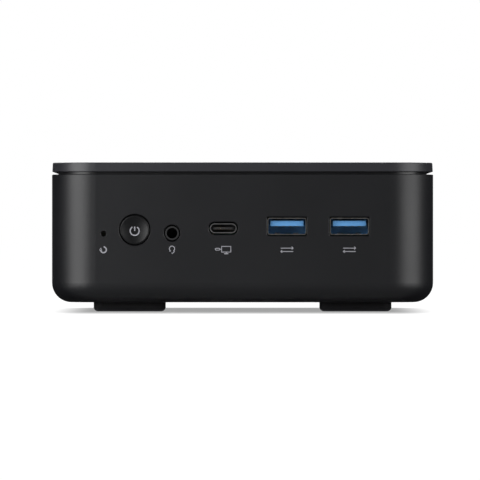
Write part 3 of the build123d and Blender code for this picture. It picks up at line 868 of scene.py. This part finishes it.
@dataclass
class PrintedMark:
    """A mark printed on a panel: flattened strokes that stand a hair proud.

    Attributes:
        name: the piece's name.
        centre: where its middle lies on the panel.
        strokes: its lines.
        body: the body it moves with.
        dish: middle and radius of the dish it lies in, if the panel isn't flat.
        thickness: how thick the ink is.
    """

    name: str
    centre: Vector
    strokes: Sequence[Stroke]
    body: str = CASE
    dish: tuple[Vector, float] | None = None
    thickness: float = 0.03 * MM

    def line(self, stroke: Stroke) -> bpy.types.Object:
        """Draws one stroke.

        Args:
            stroke: the stroke.

        Returns:
            A flattened round-ended line.
        """
        data = bpy.data.curves.new(self.name, "CURVE")
        data.dimensions = "3D"
        data.bevel_depth = stroke.width / 2
        data.bevel_resolution = 3
        data.use_fill_caps = True
        spline = data.splines.new("POLY")
        spline.points.add(len(stroke.points) - 1)
        for point, (right, up) in zip(spline.points, stroke.points):
            point.co = (right, 0.0, up, 1.0)
        spline.use_cyclic_u = stroke.closed
        obj = bpy.data.objects.new(self.name, data)
        bpy.context.scene.collection.objects.link(obj)
        clear_selection()
        obj.select_set(True)
        bpy.context.view_layer.objects.active = obj
        bpy.ops.object.convert(target="MESH")
        flat = bpy.context.object
        flat.scale = (1.0, self.thickness / stroke.width, 1.0)
        return settle(self.name)

    def build(self) -> bpy.types.Object:
        """Makes the mark and lays it on its panel.

        Returns:
            The piece.
        """
        mark = joined(self.name, [self.line(stroke) for stroke in self.strokes])
        mark.location = self.centre
        settle(self.name)
        if self.dish:
            middle, radius = self.dish
            for vertex in mark.data.vertices:
                out = Vector((vertex.co.x - middle.x, vertex.co.z - middle.z))
                vertex.co.y -= out.length_squared / (2 * radius)
        return hand_over(mark, INK, self.body)


@dataclass
class FrontMarks:
    """The marks printed beside the front controls and ports.

    Attributes:
        fine: width of the thinner lines.
        bold: width of the thicker lines.
        height: height of the row of marks.
    """

    fine: float = 0.34 * MM
    bold: float = 0.46 * MM
    height: float = 20.8 * MM

    def above(self, node: str) -> Vector:
        """The point on the front panel under the middle of a node.

        Args:
            node: the CAD node.

        Returns:
            The point, at the height of the row of marks.
        """
        low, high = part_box(node)
        return Vector(((low.x + high.x) / 2, CAD_BOX[0].y, self.height))

    def reset(self) -> PrintedMark:
        """A turning arrow under the pinhole.

        Returns:
            The mark.
        """
        radius = 0.95 * MM
        tip = arc((0.0, 0.0), radius, 172, 172, 1)[0]
        half = 0.42 * MM
        head = [
            (tip[0] - half, tip[1] - half * 0.6),
            (tip[0], tip[1] + half * 1.1),
            (tip[0] + half, tip[1] - half * 0.6),
        ]
        strokes = [
            Stroke(arc((0.0, 0.0), radius, 88, -178), self.bold),
            Stroke(head, 0.3 * MM, True),
        ]
        return PrintedMark("reset_mark", self.above("reset_switch_plunger"), strokes)

    def headset(self) -> PrintedMark:
        """A headset under the audio jack.

        Returns:
            The mark.
        """
        band = (0.0, 0.38 * MM)
        strokes = [
            Stroke(arc(band, 0.88 * MM, -35, 215), 0.28 * MM),
            Stroke([(-0.74 * MM, -0.2 * MM), (-0.56 * MM, -0.52 * MM)], 0.46 * MM),
            Stroke([(0.76 * MM, -0.2 * MM), (0.6 * MM, -0.55 * MM)], 0.54 * MM),
            Stroke([(0.72 * MM, -0.6 * MM), (0.5 * MM, -0.98 * MM), (0.15 * MM, -1.12 * MM)], 0.2 * MM),
            Stroke([(-0.14 * MM, -1.14 * MM), (0.16 * MM, -1.14 * MM)], 0.4 * MM),
        ]
        return PrintedMark("headset_mark", self.above("audio_jack_ring"), strokes)

    def display(self) -> PrintedMark:
        """A plug and a screen under the small port.

        Returns:
            The mark.
        """
        left, right = -0.55 * MM, 2.55 * MM
        low, high = -0.75 * MM, 1.15 * MM
        screen = [(left, low), (right, low), (right, high), (left, high)]
        middle = (left + right) / 2
        plug = arc((-2.35 * MM, 0.2 * MM), 0.3 * MM, 90, 270, 8)
        plug += arc((-1.45 * MM, 0.2 * MM), 0.3 * MM, -90, 90, 8)
        strokes = [
            Stroke(screen, self.fine, True),
            Stroke([(middle, low), (middle, -1.25 * MM)], self.fine),
            Stroke([(middle - 0.7 * MM, -1.3 * MM), (middle + 0.7 * MM, -1.3 * MM)], self.fine),
            Stroke(plug, 0.26 * MM, True),
            Stroke([(-1.2 * MM, 0.2 * MM), (left, 0.2 * MM)], 0.24 * MM),
        ]
        return PrintedMark("display_mark", self.above("usb_c_shell"), strokes)

    def data(self, side: str) -> PrintedMark:
        """Two opposed arrows under a wide port.

        Args:
            side: left or right port.

        Returns:
            The mark.
        """
        reach = 2.1 * MM
        rise = 0.56 * MM
        barb = 0.52 * MM
        strokes = []
        for way in (-1, 1):
            tip = way * reach
            up = way * rise
            back = tip - way * barb
            strokes.append(Stroke([(-tip, up), (tip, up)], 0.28 * MM))
            strokes.append(Stroke([(back, up + barb), (tip, up), (back, up - barb * 0.8)], 0.28 * MM))
        return PrintedMark(f"data_mark_{side}", self.above(f"usb_a_{side}_tongue"), strokes)

    def power(self) -> PrintedMark:
        """The ring and bar in the dish of the power button.

        Returns:
            The mark.
        """
        low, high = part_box("power_button")
        middle = Vector(((low.x + high.x) / 2, low.y + 0.685 * MM, (low.z + high.z) / 2))
        strokes = [
            Stroke(arc((0.0, 0.0), 1.5 * MM, 122, 418, 40), 0.42 * MM),
            Stroke([(0.0, 0.0), (0.0, 1.45 * MM)], 0.4 * MM),
        ]
        centre = middle + Vector((-0.05 * MM, 0.0, -0.35 * MM))
        return PrintedMark("power_mark", centre, strokes, "power_button", (middle, 14.3 * MM))

    def build(self) -> None:
        """Prints every mark."""
        marks = [self.reset(), self.headset(), self.display(), self.power()]
        marks += [self.data("left"), self.data("right")]
        for mark in marks:
            mark.build()


# Ports


@dataclass
class ContactRow:
    """A row of equal contact strips across a tongue.

    Attributes:
        name: the piece's name.
        count: how many strips it has.
        pitch: distance between their middles.
        width: width of a strip.
        thickness: how far a strip stands off the tongue.
        rounding: rounding of its edges.
    """

    name: str
    count: int
    pitch: float
    width: float
    thickness: float = 0.12 * MM
    rounding: float = 0.03 * MM

    def build(self, middle: float, near: float, far: float, level: float) -> bpy.types.Object:
        """Models one strip and copies it along the row.

        Args:
            middle: X of the row's middle.
            near: Y of one end of the strips.
            far: Y of the other end.
            level: Z of the strips' middle.

        Returns:
            The strips as one object.
        """
        half = Vector((self.width / 2, 0.0, self.thickness / 2))
        first = middle - self.pitch * (self.count - 1) / 2
        low = Vector((first, min(near, far), level)) - half
        high = Vector((first, max(near, far), level)) + half
        strip = block(self.name, low, high, self.rounding)
        strips = [strip]
        for step in range(1, self.count):
            strips.append(copied(strip, Vector((self.pitch * step, 0.0, 0.0))))
        return joined(self.name, strips)


@dataclass
class WidePort:
    """Contacts and shell springs of one wide port with a blue tongue.

    Attributes:
        name: start of its pieces' names.
        shell: the CAD node of its shell.
        facing: which panel it is on.
        level: middle height of the port, or None to take the shell's.
        spring_width: width of a shell spring.
        opening_height: clear height inside the shell.
        contact_rise: height of the contacts over the port's middle.
    """

    name: str
    shell: str
    facing: Facing
    level: float | None = None
    spring_width: float = 1.9 * MM
    opening_height: float = 5.12 * MM
    contact_rise: float = 0.05 * MM

    def springs(self, middle: float, level: float, mouth: float) -> bpy.types.Object:
        """The bent leaf springs on the floor and roof of the shell.

        Args:
            middle: X of the port's middle.
            level: Z of its middle.
            mouth: Y of its mouth.

        Returns:
            The springs as one object.
        """
        inward = -self.facing.value
        leaves = []
        for above in (-1, 1):
            wall = level + above * self.opening_height / 2
            for side in (-1, 1):
                right = middle + side * 3.1 * MM
                near = mouth + inward * 2.0 * MM
                far = mouth + inward * 7.5 * MM
                low = Vector((right - self.spring_width / 2, min(near, far), wall - 0.06 * MM))
                high = Vector((right + self.spring_width / 2, max(near, far), wall + 0.06 * MM))
                leaf = block("leaf", low, high)
                bpy.ops.object.mode_set(mode="EDIT")
                bpy.ops.mesh.select_all(action="SELECT")
                bpy.ops.mesh.subdivide(number_cuts=5)
                bpy.ops.object.mode_set(mode="OBJECT")
                for vertex in leaf.data.vertices:
                    share = (vertex.co.y - low.y) / (high.y - low.y)
                    vertex.co.z -= above * 0.34 * MM * sin(pi * share) ** 2
                leaves.append(leaf)
        return joined(f"{self.name}_springs", leaves)

    def build(self) -> None:
        """Makes the contacts and springs of the port."""
        low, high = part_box(self.shell)
        middle = (low.x + high.x) / 2
        level = self.level if self.level is not None else (low.z + high.z) / 2
        mouth = low.y if self.facing is Facing.FRONT else high.y
        inward = -self.facing.value
        under = level + self.contact_rise
        row = ContactRow(f"{self.name}_contacts", 4, 2.3 * MM, 1.0 * MM)
        near = mouth + inward * 2.6 * MM
        contacts = row.build(middle, near, mouth + inward * 9.5 * MM, under)
        hand_over(contacts, GOLD)
        hand_over(self.springs(middle, level, mouth), NICKEL)


@dataclass
class SmallPort:
    """Contact pads on the tongue of the small oval port.

    Attributes:
        tongue: the CAD node of its tongue.
        pads: how many pads a row has.
        pitch: distance between them.
    """

    tongue: str = "usb_c_tongue"
    pads: int = 12
    pitch: float = 0.5 * MM

    def build(self) -> None:
        """Makes the pads above and below the tongue."""
        low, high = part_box(self.tongue)
        middle = (low.x + high.x) / 2
        level = (low.z + high.z) / 2
        rows = []
        for above in (-1, 1):
            row = ContactRow("usb_c_contacts", self.pads, self.pitch, 0.28 * MM, 0.06 * MM, 0.01 * MM)
            near = low.y + 0.7 * MM
            rows.append(row.build(middle, near, near + 4.0 * MM, level + above * 0.36 * MM))
        hand_over(joined("usb_c_contacts", rows), GOLD)


@dataclass
class NetworkPort:
    """Contact wires and lights of the network socket.

    Attributes:
        node: its CAD node.
        wires: how many contact wires it has.
        pitch: distance between them.
    """

    node: str = "network_jack"
    wires: int = 8
    pitch: float = 1.02 * MM

    def build(self) -> None:
        """Makes the wires and the two lights."""
        low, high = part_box(self.node)
        middle = (low.x + high.x) / 2
        wires = []
        for step in range(self.wires):
            right = middle + (step - (self.wires - 1) / 2) * self.pitch
            clear_selection()
            bpy.ops.mesh.primitive_cylinder_add(
                vertices=10,
                radius=0.2 * MM,
                depth=9.0 * MM,
                location=(right, high.y - 6.4 * MM, low.z + 3.9 * MM),
                rotation=(radians(68), 0, 0),
            )
            wires.append(settle("wire"))
        hand_over(joined("network_contacts", wires), GOLD)
        for side, finish, name in ((-1, AMBER_LENS, "amber"), (1, GREEN_LENS, "green")):
            centre = Vector((middle + side * 5.4 * MM, high.y, high.z - 1.7 * MM))
            half = Vector((1.5 * MM, 0.15 * MM, 0.8 * MM))
            lens = block(f"network_light_{name}", centre - half, centre + half, 0.1 * MM)
            hand_over(lens, finish)


@dataclass
class CombPort:
    """A rear port with a row of fine contacts on its tongue.

    Attributes:
        name: the piece's name.
        node: its CAD node.
        count: how many contacts show.
        pitch: distance between them.
        level: height of the contacts over the node's lowest point.
    """

    name: str
    node: str
    count: int
    pitch: float
    level: float

    def build(self) -> None:
        """Makes the contacts."""
        low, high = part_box(self.node)
        row = ContactRow(self.name, self.count, self.pitch, self.pitch * 0.55, 0.08 * MM, 0.02 * MM)
        far = high.y - 1.5 * MM
        contacts = row.build((low.x + high.x) / 2, far - 6 * MM, far, low.z + self.level)
        hand_over(contacts, GOLD)


@dataclass
class PowerInlet:
    """Metal sleeve over the pin of the power socket, and the lining of its mouth.

    Attributes:
        node: its CAD node.
        pin_radius: outside radius of the sleeve.
        mouth_radius: radius of the mouth.
    """

    node: str = "power_inlet"
    pin_radius: float = 1.32 * MM
    mouth_radius: float = 3.15 * MM

    def build(self) -> None:
        """Makes the sleeve and the lining."""
        low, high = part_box(self.node)
        middle = Vector(((low.x + high.x) / 2, high.y - 5.4 * MM, (low.z + high.z) / 2))
        pin = sleeve("inlet_pin_sleeve", middle, self.pin_radius, 0.75 * MM, 8.8 * MM)
        bevel_all(pin, 0.12 * MM)
        hand_over(pin, NICKEL)
        middle.y = high.y - 4.6 * MM
        lining = sleeve("inlet_lining", middle, self.mouth_radius, self.mouth_radius - 0.2 * MM, 9 * MM)
        hand_over(lining, DARK_NICKEL)


@dataclass
class Dressing:
    """Puts its finish on every CAD node that shows.

    Attributes:
        exceptions: nodes whose finish isn't their slot's.
    """

    exceptions: dict[str, Finish]

    def build(self) -> None:
        """Assigns each node's finish to its material slots."""
        slots = {row["node"]: row["material_slot"] for row in frame["record"]["subparts"]}
        for name, obj in frame["nodes"].items():
            finish = self.exceptions.get(name, SLOT_FINISH[slots[name]])
            for material_slot in obj.material_slots:
                material_slot.material = finish.material()
            log.info("%s: %s", name, finish.name)


# Studio


@dataclass
class Softbox:
    """A rectangular lamp that faces the object.

    Attributes:
        name: its name.
        azimuth: degrees round from the front, to the right.
        elevation: degrees above the floor.
        distance: how far off it stands.
        size: its width and height.
        radiance: how bright its face is.
        mirrored: whether shiny surfaces mirror it.
    """

    name: str
    azimuth: float
    elevation: float
    distance: float
    size: tuple[float, float]
    radiance: float
    mirrored: bool = True

    def build(self, aim: Vector) -> None:
        """Sets up the lamp.

        Args:
            aim: the point it faces.
        """
        data = bpy.data.lights.new(self.name, "AREA")
        data.shape = "RECTANGLE"
        data.size, data.size_y = self.size
        data.energy = self.radiance * pi * self.size[0] * self.size[1]
        lamp = bpy.data.objects.new(self.name, data)
        turn, rise = radians(self.azimuth), radians(self.elevation)
        away = Vector((sin(turn) * cos(rise), -cos(turn) * cos(rise), sin(rise)))
        lamp.location = aim + away * self.distance
        lamp.rotation_euler = away.to_track_quat("Z", "Y").to_euler()
        lamp.visible_camera = False
        lamp.visible_glossy = self.mirrored
        bpy.context.scene.collection.objects.link(lamp)


@dataclass
class Studio:
    """Floor, backdrop light, lamps and camera.

    Attributes:
        distance: from the camera to the front panel.
        field: width of the view at the front panel.
        eye: the camera's height.
        aside: how far left of the middle the camera stands.
        overhead: strength of the broad light from the back.
    """

    distance: float = 2.3
    field: float = 161.2 * MM
    eye: float = 24.1 * MM
    aside: float = 0.87 * MM
    overhead: float = 0.9

    def floor(self) -> None:
        """Lays a wide opal sheet that the case neither mirrors nor catches light from."""
        clear_selection()
        bpy.ops.mesh.primitive_plane_add(size=60)
        floor = settle("studio_floor")
        floor.data.materials.append(FLOOR_OPAL_PAINTED_SHADOW.material())
        floor.visible_glossy = False
        floor.visible_diffuse = False

    def backdrop(self) -> None:
        """White to look at, and dim as a light, so that the case's edges stay dark."""
        world = bpy.data.worlds.new("studio_world")
        bpy.context.scene.world = world
        world.use_nodes = True
        tree = world.node_tree
        tree.nodes.clear()
        output = tree.nodes.new("ShaderNodeOutputWorld")
        mix = tree.nodes.new("ShaderNodeMixShader")
        seen = tree.nodes.new("ShaderNodeLightPath")
        dim = tree.nodes.new("ShaderNodeBackground")
        bright = tree.nodes.new("ShaderNodeBackground")
        dim.inputs["Color"].default_value = (0.03, 0.03, 0.032, 1.0)
        bright.inputs["Color"].default_value = (1.0, 1.0, 1.0, 1.0)
        tree.links.new(seen.outputs["Is Camera Ray"], mix.inputs[0])
        tree.links.new(dim.outputs[0], mix.inputs[1])
        tree.links.new(bright.outputs[0], mix.inputs[2])
        tree.links.new(mix.outputs[0], output.inputs[0])

    def lamps(self) -> None:
        """Softboxes at the sides, behind and below, a card in front and a broad light."""
        aim = (CAD_BOX[0] + CAD_BOX[1]) / 2
        for lamp in (
            Softbox("softbox_left", -46.5, 12, 0.45, (0.32, 0.39), 5.55),
            Softbox("softbox_right", 58, 12, 1.5, (1.25, 1.3), 4.6),
            Softbox("softbox_back", 180, 50, 1.3, (1.3, 0.7), 8.0),
            Softbox("softbox_under", 180, -62, 1.2, (0.6, 0.6), 48.0, False),
        ):
            lamp.build(aim)
        card = Softbox("bounce_card", 0, -90, 0.0, (0.5, 0.34), 0.2)
        card.build(Vector((0.0, CAD_BOX[0].y - 0.167, 0.5 * MM)))
        data = bpy.data.lights.new("overhead", "SUN")
        data.energy = self.overhead
        data.angle = radians(50)
        sun = bpy.data.objects.new("overhead", data)
        sun.rotation_euler = (radians(-50), 0, 0)
        sun.visible_glossy = False
        bpy.context.scene.collection.objects.link(sun)

    def camera(self) -> None:
        """Stands the camera level in front of the object."""
        data = bpy.data.cameras.new("camera")
        data.lens = data.sensor_width * self.distance / self.field
        data.clip_end = 100
        camera = bpy.data.objects.new("camera", data)
        camera.location = (-self.aside, CAD_BOX[0].y - self.distance, self.eye)
        camera.rotation_euler = (pi / 2, 0, 0)
        bpy.context.scene.collection.objects.link(camera)
        bpy.context.scene.camera = camera

    def build(self) -> None:
        """Sets up the whole studio."""
        bpy.context.scene.view_settings.view_transform = "Standard"
        self.camera()
        self.floor()
        self.backdrop()
        self.lamps()


def main() -> None:
    """Builds everything in order."""
    logging.basicConfig(level=logging.INFO, format="%(message)s")
    Studio().build()
    Dressing({"audio_jack_ring": RING_PLASTIC, "usb_c_shell": DARK_NICKEL}).build()
    FrontMarks().build()
    front = Facing.FRONT
    WidePort("usb_a_left", "usb_a_left_shell", front).build()
    WidePort("usb_a_right", "usb_a_right_shell", front).build()
    for place, level in (("lower", 30.2 * MM), ("upper", 37.8 * MM)):
        WidePort(f"rear_usb_{place}", "rear_usb_shell", Facing.BACK, level).build()
    SmallPort().build()
    NetworkPort().build()
    CombPort("hdmi_contacts", "hdmi_port", 10, 1.0 * MM, 2.46 * MM).build()
    CombPort("display_contacts", "display_port", 10, 1.2 * MM, 2.71 * MM).build()
    PowerInlet().build()


if __name__ == "__main__":
    main()
